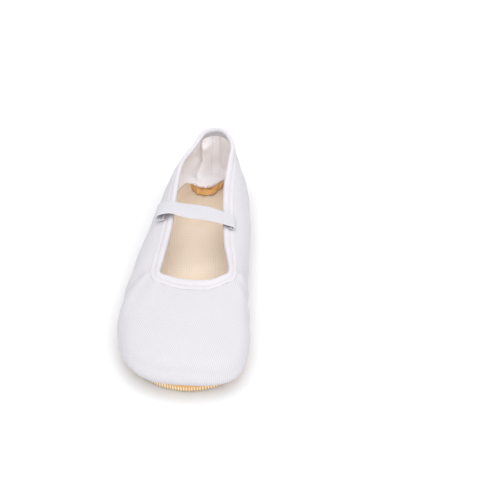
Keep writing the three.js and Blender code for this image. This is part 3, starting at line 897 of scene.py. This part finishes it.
def outsole():
    n = N_MAIN
    s = loop_s(n)
    h = seam_height(s)
    sl, sf = seam_length(s)
    extra = lip_extra(s)
    ruffle = lip_ruffle(s)
    L = 5.5 + extra + 0.9 * ruffle
    B = 0.5   # the tread's ribs stand this far below the plate
    rings = [
        (14.0, B), (3.9, B), (2.8, B + 0.12), (1.9, B + 0.5), (1.2, 1.25), (0.7, 1.95), (0.25, 2.9), (-0.05, 3.8),
        (-0.15, 4.7), (-0.02, 5.4), (0.3, None),
    ]
    rows = []
    for inset, z in rings:
        rows.append(seam(s, inset, (h - 0.05) if z is None else z))
    rows[-2] = seam(s, -0.05, h - 0.7)
    rows[-3] = seam(s, -0.12, h - 1.6)
    for inset, dz in ((1.2, 0.35), (2.4, 0.75)):
        rows.append(seam(s, inset, h + dz))
    # allowance: from inset 3 to its free edge, which curls down in the heel
    hz = heel_zone(s)
    base_xy = seam(s, 2.8, 0)[:, :2]
    edge_xy = heel_line(s, LIP_XY)
    edge_xy[:, 1] -= 0.9 * ruffle

    def lip(u, dz):
        ins = 2.8 + 2.7 * u
        arch = 1.15 + 0.5 * hz * math.sin(math.pi * min(u * 1.1, 1.0))
        fall = 3.0 * hz * max(u - 0.55, 0) ** 1.3 * 2.2
        zz = h + arch - fall + 1.1 * ruffle * max(u - 0.45, 0) + hz * (0.75 * math.exp(-((u - 0.80) / 0.035) ** 2) - 0.9 * math.exp(-((u - 0.865) / 0.025) ** 2) + 0.85 * math.exp(-((u - 0.94) / 0.045) ** 2))
        ring = seam(s, ins, np.maximum(zz + dz, 5.0 + (dz + 0.7) * 0.7))
        xy = base_xy + (edge_xy - base_xy) * u
        ring[:, :2] = ring[:, :2] * (1 - hz)[:, None] + xy * hz[:, None]
        return ring
    for u in (0.1, 0.25, 0.4, 0.5, 0.58, 0.64, 0.7, 0.74, 0.77, 0.79, 0.81, 0.83, 0.845, 0.855, 0.865, 0.875, 0.885, 0.9, 0.92, 0.94, 0.96, 0.98, 0.99):
        rows.append(lip(u, 0.0))
    rows.append(lip(1.0, -0.12))
    rows.append(lip(1.01, -0.45))
    for u in (0.95, 0.8, 0.6, 0.4, 0.2):
        rows.append(lip(u, -0.7))
    for inset, dz in ((2.5, -0.9),):
        rows.append(seam(s, inset, h + dz))
    for inset, z in ((1.9, 4.0), (2.5, 2.7), (4.2, 2.0), (14.0, 2.0)):
        rows.append(seam(s, inset, z))
    v = np.concatenate(rows)
    f = grid_faces(len(rows), n)
    capa = np.arange(n)
    capb = (len(rows) - 1) * n + np.arange(n)
    return build("outsole_rubber", v, [f, capa, capb[::-1]], M_RUBBER, sharp_angle=50)


def tread_ribs():
    """Lengthwise ribs under the sole, carried up the rim at toe and heel."""
    n = N_MAIN * 2
    s = np.append(loop_s(n), COUNT)
    h = seam_height(s)
    B = 0.5
    rings = [(3.9, B), (2.8, B + 0.12), (1.9, B + 0.5), (1.2, 1.25), (0.7, 1.95), (0.25, 2.9), (-0.05, 3.8), (-0.12, 4.9), (-0.05, 5.8)]
    loops_ = []
    for inset, z in rings:
        zz = np.minimum(z, h - 0.35) if z > 4.5 else z
        loops_.append(seam(s, inset, zz))
    bits_v, bits_f, count = [], [], 0
    pitch = 1.72
    xs = np.arange(-41.0, 36.0, pitch)
    for x in xs:
        toe, heel = [], []
        for level, ring in enumerate(loops_):
            d = ring[:, 0] - x
            hit = np.where(d[:-1] * d[1:] < 0)[0]
            if len(hit) < 2:
                toe.append(None)
                heel.append(None)
                continue
            pts = []
            for i in hit:
                u = d[i] / (d[i] - d[i + 1])
                step = ring[i + 1] - ring[i]
                # the ribs end where the edge runs along them
                steep = level > 1 and abs(step[0]) < 0.45 * np.hypot(step[0], step[1])
                pts.append((ring[i] + step * u, steep))
            pts.sort(key=lambda q: q[0][1])
            toe.append(None if pts[0][1] or (level and toe[-1] is None) else pts[0][0])
            heel.append(None if pts[-1][1] or (level and heel[-1] is None) else pts[-1][0])
        up_toe = [q for q in toe if q is not None]
        up_heel = [q for q in heel if q is not None]
        if min(len(up_toe), len(up_heel)) < 2 or up_heel[0][1] - up_toe[0][1] < 12:
            continue
        floor_a, floor_b = up_toe[0], up_heel[0]
        m = 26
        mid = [floor_a + (floor_b - floor_a) * (j / m) for j in range(1, m)]
        path = np.array(up_toe[::-1] + mid + up_heel)
        t = np.gradient(path, axis=0)
        t /= np.linalg.norm(t, axis=1, keepdims=True)
        side = np.broadcast_to([1.0, 0, 0], path.shape)
        out = np.cross(side, t)
        out *= np.where(out[:, 2:3] > 0.02, -1, 1) if abs(out[len(out) // 2, 2]) < 0.5 else -np.sign(out[len(out) // 2, 2])
        sect = [(-0.5, -0.12), (-0.4, 0.28), (-0.2, 0.5), (0.2, 0.5), (0.4, 0.28), (0.5, -0.12)]
        fade = np.ones(len(path))
        fade[0] = fade[-1] = 0.2
        ring_pts = np.stack([path + side * a + out * (b * fade)[:, None] for a, b in sect], axis=1)
        bits_v.append(ring_pts.reshape(-1, 3))
        bits_f.extend(grid_faces(len(path), len(sect), base=count).tolist())
        bits_f.append((count + np.arange(len(sect)))[::-1].tolist())
        bits_f.append((count + (len(path) - 1) * len(sect) + np.arange(len(sect))).tolist())
        count += len(path) * len(sect)
    verts = np.concatenate(bits_v)
    verts[:, 2] = np.maximum(verts[:, 2], 0.02)
    mesh = bpy.data.meshes.new("tread_ribs")
    mesh.from_pydata(((verts + SHIFT) * MM).tolist(), [], bits_f)
    mesh.validate()
    import bmesh
    bm = bmesh.new()
    bm.from_mesh(mesh)
    bmesh.ops.recalc_face_normals(bm, faces=bm.faces)
    bm.to_mesh(mesh)
    bm.free()
    mesh.polygons.foreach_set("use_smooth", [True] * len(mesh.polygons))
    mesh.set_sharp_from_angle(angle=math.radians(60))
    obj = bpy.data.objects.new("tread_ribs", mesh)
    bpy.context.scene.collection.objects.link(obj)
    # paler copy of the outsole's rubber: painted light on the ribs
    mesh.materials.append(M_RIBS_PAINTED_LIGHT)
    return obj


def sole_sheet(name, inset, z_lo, z_hi, material, dish=0.0, rim=0.0, nx=58, ny=150):
    """Insole layer cut to the outline. dish lowers it under the foot, rim
    carries its edge up over the sole's allowance."""
    s = np.append(loop_s(COUNT * 40), COUNT)
    ring = seam(s, inset, 0.0)
    height = seam_height(s)
    y0, y1 = ring[:, 1].min() + 0.02, ring[:, 1].max() - 0.02
    bottom = int(np.argmax(ring[:, 1]))
    ring0 = np.roll(ring[:-1], -bottom, axis=0)
    j = int(np.argmin(ring0[:, 1]))
    med = ring0[:j + 1]
    lat = np.vstack([ring0[j:], ring0[:1]])
    yy = (y0 + y1) / 2 - (y1 - y0) / 2 * np.cos(np.pi * np.linspace(0, 1, ny))
    xm = np.interp(yy, med[::-1, 1], med[::-1, 0])
    xl = np.interp(yy, lat[:, 1], lat[:, 0])
    u = 0.5 - 0.5 * np.cos(np.pi * np.linspace(0, 1, nx))
    X = xl[:, None] + (xm - xl)[:, None] * u[None]
    Y = np.broadcast_to(yy[:, None], X.shape)
    coarse = ring[:-1:4, :2]
    gap = np.linalg.norm(np.stack([X, Y], -1)[:, :, None] - coarse[None, None], axis=3)
    near = gap.argmin(axis=2)
    gap = gap.min(axis=2)
    hr = height[:-1:4][near]
    fall = np.clip(gap / 6.0, 0, 1)
    fall = fall * fall * (3 - 2 * fall)
    Z = z_hi - dish * fall * (0.7 + 0.3 * np.sin(Y / 37.0 + 0.6))
    Z = Z + 0.09 * np.sin(X / 6.1 + Y / 19) * np.sin(Y / 11.0 + 0.5) * fall * (dish > 0)
    low = np.full_like(Z, z_lo)
    if rim:
        up = np.clip((7.4 - gap) / 4.4, 0, 1)
        up = up * up * (3 - 2 * up)
        top = hr + rim + 0.12 * np.sin(X / 2.9) * np.sin(Y / 3.7)
        Z = Z + (top - Z) * up
        low = np.where(up > 0, np.maximum(Z - 0.6, z_lo), z_lo)
    a = np.stack([X, Y, Z], -1).reshape(-1, 3)
    b = np.stack([X, Y, low], -1).reshape(-1, 3)
    v = np.concatenate([a, b])
    m = nx * ny
    fa = grid_faces(ny, nx, close_cols=False)
    fb = fa[:, ::-1] + m
    rimloop = np.concatenate([np.arange(nx), np.arange(1, ny) * nx + nx - 1, (ny - 1) * nx + np.arange(nx - 2, -1, -1), np.arange(ny - 2, 0, -1) * nx])
    nxt = np.roll(rimloop, -1)
    fs = np.stack([rimloop, nxt, nxt + m, rimloop + m], -1)
    return fix_normals(build(name, v, [fa, fb, fs], material, sharp_angle=55))


def patch(name, s_edge, w_rows, top_off, back_off, material, columns=14):
    """Closed strip on the wall between station offsets; w_rows(s) gives (n, m)."""
    s = np.linspace(s_edge[0], s_edge[1], columns)
    w = w_rows(s)
    p, nrm = frames(s, w)
    A = p + nrm * top_off(s, w)[..., None]
    Bk = p + nrm * back_off(s, w)[..., None]
    n, m = w.shape
    v = np.concatenate([A.reshape(-1, 3), Bk.reshape(-1, 3)])
    fa = grid_faces(n, m, close_cols=False)
    k = n * m
    fb = fa[:, ::-1] + k
    rim = np.concatenate([np.arange(m), np.arange(1, n) * m + m - 1, (n - 1) * m + np.arange(m - 2, -1, -1), np.arange(n - 2, 0, -1) * m])
    nxt = np.roll(rim, -1)
    fs = np.stack([rim, rim + k, nxt + k, nxt], -1)
    sl = seam_length(np.abs(s))[0] * np.sign(s)
    uv = np.stack([np.broadcast_to(sl[:, None], w.shape), w], -1).reshape(-1, 2)
    obj = build(name, v, [fa, fb, fs], material, uv=np.concatenate([uv, uv]))
    return obj


def fix_normals(obj):
    import bmesh
    bm = bmesh.new()
    bm.from_mesh(obj.data)
    bmesh.ops.recalc_face_normals(bm, faces=bm.faces)
    bm.to_mesh(obj.data)
    bm.free()
    return obj


def heel_tape():
    def rows(s):
        full = total(s)[:, None]
        k = np.linspace(0, 1, 40)[None]
        return 6.9 + (full - 3.0 - 6.9) * k
    half = 0.3
    def crown(s, w):
        d = s / half
        base = -1.15 - 0.5 + heel_dent(s, w)
        wave_ = 0.28 * np.sin(w / 2.7 + 1.2 * np.sin(w / 7)) * (1 - (d ** 2)[:, None])
        return base - 0.12 - 0.34 * (1 - (d ** 2)[:, None]) + 0.5 * wave_ * (1 - (d ** 2)[:, None])
    def back(s, w):
        return -1.15 - 0.5 + heel_dent(s, w) - 0.08
    return fix_normals(patch("heel_seam_tape_cloth", (-half, half), rows, crown, back, M_TAPE, columns=17))


def heel_stitches():
    bits = Bits()
    full = float(total(np.array([0.0]))[0])
    # back seam outside: a raised join with two rows of stitches
    for side in (-1, 1):
        ws = np.arange(8.6, full - 3.0, 2.4)
        for w0 in ws:
            s = np.full(2, side * 0.12)
            w = np.array([[w0], [w0 + 1.9]])
            p, nrm = frames(s, w)
            off = folds(s, w, p)
            q = p[:, 0] + nrm[:, 0] * (off[:, 0] + 0.1)[:, None]
            bits.stitch(q[0], q[1], nrm[0, 0], radius=0.2)
    # inside: stitches along the tape's edges
    for side in (-1, 1):
        ws = np.arange(8.5, full - 5, 2.6)
        for w0 in ws:
            s = np.full(2, side * 0.27)
            w = np.array([[w0], [w0 + 2.0]])
            p, nrm = frames(s, w)
            off = -1.65 - 0.16 + heel_dent(s, w)
            q = p[:, 0] + nrm[:, 0] * (off[:, 0])[:, None]
            bits.stitch(q[0], q[1], -nrm[0, 0], radius=0.13)
    return bits.object("heel_seam_stitches", M_THREAD)


def sole_seam_stitches():
    bits = Bits()
    ends = stations_along(0, 1, 3.2, "seam")
    a = ends[:-1] + (ends[1:] - ends[:-1]) * 0.1
    b = ends[1:] - (ends[1:] - ends[:-1]) * 0.1
    pa = seam(a, -0.12, seam_height(a) + 0.22)
    pb = seam(b, -0.12, seam_height(b) + 0.22)
    na = seam(a, -1.0, seam_height(a)) - seam(a, 0.0, seam_height(a))
    for i in range(len(a)):
        bits.stitch(pa[i], pb[i], na[i], radius=0.24)
    return bits.object("sole_seam_stitches", M_THREAD)


def overlock():
    """Looped edge stitching that joins the lining's foot to the allowance."""
    bits = Bits()
    s = stations_along(0, 1, 2.0, "seam")[:-1]
    h = seam_height(s)
    hz = heel_zone(s)
    sl, sf = seam_length(s)
    ripple = 0.35 * np.sin(2 * np.pi * sl / 7.1 + 1.5 * wobble(sl, 61, period=sf)) * (0.4 + 0.6 * hz)
    # plain stretch: hidden under the lining; heel: over its free edge
    edge = heel_line(s, FOOT_XY)
    edge[:, 1] += 1.6 * ripple * hz
    lip = heel_line(s, LIP_XY)
    out_ = seam(s, 3.4, h + 0.95 * (1 - hz) + 3.35 * hz)
    inn = seam(s, 4.4, h + 0.95 * (1 - hz) + 2.35 * hz)
    out_[:, :2] = out_[:, :2] * (1 - hz)[:, None] + (edge + (edge - lip) * 0.16) * hz[:, None]
    inn[:, :2] = inn[:, :2] * (1 - hz)[:, None] + (edge + (lip - edge) * 0.14) * hz[:, None]
    for i in range(len(s)):
        j = (i + 1) % len(s)
        a, b, c = inn[i], out_[i], inn[j]
        lift = [0, 0, 0.12 + 0.2 * hz[i]]
        bits.tube([a, (a + b) / 2 + lift, b, (b + c) / 2 + lift, c], 0.17, sides=5)
    line = np.concatenate([inn, inn[:1]])
    bits.tube(line + [0, 0, 0.1], 0.24, sides=6)
    return bits.object("allowance_overlock_thread", M_OVERLOCK)


# ---- instep elastic
STRAP_W = 14.0
STRAP_T = 0.9
Y_OUTER, Y_INNER = 25.0, 17.8
CREST, TILT = 41.0, 1.2
TURN_OUTER = [(6.2, 1.5), (7.9, 1.5), (9.5, 1.75), (10.6, 3.1), (10.4, 5.2), (8.6, 6.6), (4.9, 6.7), (0.3, 5.5)]
TURN_INNER = [(4.2, 1.6), (5.6, 1.5), (6.8, 1.65), (7.4, 2.5), (6.9, 3.4), (5.2, 3.8), (2.8, 3.9), (0.3, 4.1)]


def station_at(side, y):
    lo, hi = (3.0, 8.0) if side > 0 else (15.0, 20.0)
    for _ in range(40):
        mid = (lo + hi) / 2
        here = at(np.array([mid]), np.array([[4.0]]))[0, 0, 1]
        if (side > 0 and here > y) or (side < 0 and here < y):
            lo = mid
        else:
            hi = mid
    return (lo + hi) / 2


def centripetal(points, n):
    """even points on a centripetal Catmull-Rom curve"""
    P = np.asarray(points, float)
    P = np.vstack([2 * P[0] - P[1], P, 2 * P[-1] - P[-2]])
    out = []
    for i in range(1, len(P) - 2):
        p0, p1, p2, p3 = P[i - 1:i + 3]
        t0 = 0.0
        t1 = t0 + max(np.linalg.norm(p1 - p0), 1e-6) ** 0.5
        t2 = t1 + max(np.linalg.norm(p2 - p1), 1e-6) ** 0.5
        t3 = t2 + max(np.linalg.norm(p3 - p2), 1e-6) ** 0.5
        for t in np.linspace(t1, t2, 24, endpoint=False):
            a1 = (t1 - t) / (t1 - t0) * p0 + (t - t0) / (t1 - t0) * p1
            a2 = (t2 - t) / (t2 - t1) * p1 + (t - t1) / (t2 - t1) * p2
            a3 = (t3 - t) / (t3 - t2) * p2 + (t - t2) / (t3 - t2) * p3
            b1 = (t2 - t) / (t2 - t0) * a1 + (t - t0) / (t2 - t0) * a2
            b2 = (t3 - t) / (t3 - t1) * a2 + (t - t1) / (t3 - t1) * a3
            out.append((t2 - t) / (t2 - t1) * b1 + (t - t1) / (t2 - t1) * b2)
    out.append(P[-2])
    out = np.array(out)
    d = np.concatenate([[0], np.cumsum(np.linalg.norm(np.diff(out, axis=0), axis=1))])
    g = np.linspace(0, d[-1], n)
    return np.stack([np.interp(g, d, out[:, c]) for c in range(3)], -1), d[-1]


def strap_line(edge):
    offset = edge * STRAP_W / 2
    so = station_at(-1, Y_OUTER + offset)
    si = station_at(1, Y_INNER + offset)
    to, ti = np.array(TURN_OUTER), np.array(TURN_INNER)
    a = place(np.array([so]), to[None, :, 0], to[None, :, 1])[0]
    b = place(np.array([si]), ti[None, :, 0], ti[None, :, 1])[0][::-1]
    left, right = a[-1], b[0]
    mids = []
    for f in (0.25, 0.5, 0.75):
        q = left * (1 - f) + right * f
        q[2] = q[2] + (CREST + edge * TILT - q[2]) * math.sin(math.pi * f)
        mids.append(q)
    return np.vstack([a, mids, b])


def instep_elastic():
    n = 150
    edges = np.linspace(-1, 1, 5)
    lines = [centripetal(strap_line(e), n) for e in edges]
    length = np.mean([l for _, l in lines])
    grid = np.stack([l for l, _ in lines], axis=1)          # (n, 5, 3)
    cols = 26
    u = np.linspace(-1, 1, cols)
    P = np.empty((n, cols, 3))
    for i in range(n):
        for c in range(3):
            P[i, :, c] = np.interp(u, edges, grid[i, :, c])
    along = np.gradient(P, axis=0)
    across = np.gradient(P, axis=1)
    nrm = np.cross(along, across)
    nrm /= np.linalg.norm(nrm, axis=2, keepdims=True)
    x = np.linspace(0, length, n)[:, None]
    # woven ribs run lengthwise, thicker selvedge, slight ripple of the edges
    rib = 0.06 * np.cos(2 * np.pi * (u[None] * STRAP_W / 2) / 2.16)
    edge = np.clip((1 - np.abs(u)) / 0.09, 0, 1) ** 0.5
    ripple = 0.16 * np.sin(x / 3.3 + 0.8) * np.abs(u)[None] ** 3
    half = STRAP_T / 2 * edge[None] * np.ones((n, 1)) + rib * edge[None]
    A = P + nrm * (half + ripple)[..., None]
    B = P + nrm * (-half + ripple)[..., None]
    wav = 0.12 * np.sin(x / 4.7)[..., None] * np.sign(u)[None, :, None] * np.array([0, 1.0, 0]) * (np.abs(u)[None, :, None] > 0.95)
    A, B = A + wav, B + wav
    ring = np.concatenate([A, B[:, ::-1]], axis=1)          # (n, 2 cols, 3)
    m = ring.shape[1]
    v = ring.reshape(-1, 3)
    f = grid_faces(n, m, close_rows=False, close_cols=True)
    caps = []
    for base, flip in ((0, False), ((n - 1) * m, True)):
        for i in range(cols - 1):
            q = [base + i, base + i + 1, base + m - 2 - i, base + m - 1 - i]
            caps.append(q[::-1] if flip else q)
    U = np.concatenate([u, u[::-1]]) * STRAP_W / 2
    uv = np.stack([np.broadcast_to(x, (n, m)), np.broadcast_to(U[None], (n, m))], -1).reshape(-1, 2)
    obj = build("instep_elastic_web", v, [f, np.array(caps)], M_ELASTIC, uv=uv)
    return fix_normals(obj), float(length) * MM


def bartack(side, y, start, name):
    """Zigzag bar that holds the elastic's end down, inside the turn."""
    bits = Bits()
    count = 28
    pts = np.array([station_at(side, y + (i / count - 0.5) * (STRAP_W - 0.9)) for i in range(count + 1)])
    w = np.where(np.arange(count + 1) % 2 == 0, start, start + 1.3)[:, None]
    p, nrm = frames(pts, w)
    q = p[:, 0] + nrm[:, 0] * 2.02
    for i in range(count):
        m = (q[i] + q[i + 1]) / 2 + nrm[i, 0] * 0.08
        bits.tube([q[i] - nrm[i, 0] * 0.2, q[i], m, q[i + 1], q[i + 1] - nrm[i + 1, 0] * 0.2], 0.11, sides=6)
    for ww in (start + 0.15, start + 0.65, start + 1.15):
        p, nrm = frames(pts, np.full((count + 1, 1), ww))
        bits.tube(p[:, 0] + nrm[:, 0] * 1.98, 0.11, sides=6)
    return bits.object(name, M_THREAD)


# --------------------------------------------------------------- assemble
def ride(obj, *nodes):
    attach(obj, ROOT)
    if nodes:
        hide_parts(*nodes)
    return obj


ride(outsole(), "outsole")
ride(tread_ribs())
foam = ride(sole_sheet("insole_foam_pad", 4.1, 2.15, 3.6, M_FOAM), "insole_foam")
cover = ride(sole_sheet("insole_cover_cloth", 1.3, 3.7, 4.75, M_INSOLE, dish=0.45, rim=2.05), "insole_cover")
ride(upper_shell(), "upper_shell")
ride(lining(), "lining")
ride(band(), "topline_band")
ride(topline_elastic(), "topline_elastic")
ride(topline_stitching(), "topline_stitching")
ride(heel_tape(), "heel_seam_tape")
ride(heel_stitches(), "heel_seam_thread")
ride(sole_seam_stitches(), "sole_seam_thread")
ride(overlock(), "allowance_overlock")
ride(bartack(-1, Y_OUTER, 6.6, "bartack_lateral_stitches"), "bartack_lateral")
ride(bartack(1, Y_INNER, 4.6, "bartack_medial_stitches"), "bartack_medial")

web, web_length = instep_elastic()
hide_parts("instep_elastic")
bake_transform(web)

# ------------------------------------------------------------------ stage
def floor():
    mesh = bpy.data.meshes.new("floor")
    r = 6.0
    mesh.from_pydata([(-r, -r, 0), (r, -r, 0), (r, r, 0), (-r, r, 0)], [], [(0, 1, 2, 3)])
    obj = bpy.data.objects.new("floor", mesh)
    bpy.context.scene.collection.objects.link(obj)
    n = Nodes("floor_paper")
    grain = n.noise(n.obj(), 300.0, 2.0)
    n.set(Base_Color=n.mix(n.math("MULTIPLY", grain, 0.3), (0.745, 0.75, 0.765, 1), (0.735, 0.74, 0.755, 1)), Roughness=0.9)
    n.b.inputs["Specular IOR Level"].default_value = 0.1
    mesh.materials.append(n.m)
    obj.location = (0, 0, -0.0001)


floor()


def soft_sun(name, from_, strength, spread, colour=(1, 1, 1)):
    light = bpy.data.lights.new(name, "SUN")
    light.energy = strength * math.pi
    light.angle = math.radians(spread)
    light.color = colour
    obj = bpy.data.objects.new(name, light)
    bpy.context.scene.collection.objects.link(obj)
    obj.location = from_
    obj.rotation_euler = (-Vector(from_)).to_track_quat("-Z", "Y").to_euler()
    return obj


soft_sun("overhead", (0.10, -0.22, 1.3), 0.82, 88.0, (1.0, 0.999, 0.995))
soft_sun("front", (0.35, -1.35, 0.95), 0.22, 60.0)
world = bpy.data.worlds.new("studio")
bpy.context.scene.world = world
world.use_nodes = True
wt = world.node_tree
wt.nodes.clear()
w_out = wt.nodes.new("ShaderNodeOutputWorld")
w_bg = wt.nodes.new("ShaderNodeBackground")
w_co = wt.nodes.new("ShaderNodeTexCoord")
w_sp = wt.nodes.new("ShaderNodeSeparateXYZ")
w_mr = wt.nodes.new("ShaderNodeMapRange")
w_mr.interpolation_type = "SMOOTHSTEP"
w_mr.inputs[1].default_value = 0.16
w_mr.inputs[2].default_value = 0.5
w_mr.inputs[3].default_value = 1.0
w_mr.inputs[4].default_value = 0.52
wt.links.new(w_co.outputs["Generated"], w_sp.inputs[0])
wt.links.new(w_sp.outputs[2], w_mr.inputs[0])
wt.links.new(w_mr.outputs[0], w_bg.inputs[1])
w_bg.inputs[0].default_value = (1.0, 1.0, 1.0, 1)
wt.links.new(w_bg.outputs[0], w_out.inputs[0])

scene = bpy.context.scene
scene.view_settings.view_transform = "Standard"
scene.view_settings.look = "None"
scene.view_settings.exposure = 0.0

# camera: 75 mm lens on a 36 mm frame, 38 degrees down, turned so that the
# slipper stands left of the middle as in the photograph
PITCH = math.radians(38.0)
THETA = 0.05
cam_data = bpy.data.cameras.new("camera")
cam_data.sensor_width = 36.0
cam_data.lens = 75.0
cam = bpy.data.objects.new("camera", cam_data)
scene.collection.objects.link(cam)
ct, st = math.cos(THETA), math.sin(THETA)
D = 0.758
cx, cy, cz = 0.030, -D * math.cos(PITCH) + 0.041, D * math.sin(PITCH)
pos = Vector((ct * cx - st * cy, st * cx + ct * cy, cz)) + Vector((SHIFT[0] * MM, SHIFT[1] * MM, 0))
forward = Vector((-st * math.cos(PITCH), ct * math.cos(PITCH), -math.sin(PITCH)))
right = Vector((ct, st, 0))
upv = right.cross(forward)
rot = Matrix((right, upv, -forward)).transposed().to_4x4()
cam.matrix_world = Matrix.Translation(pos) @ rot
cam_data.clip_start = 0.01
cam_data.clip_end = 50
scene.camera = cam
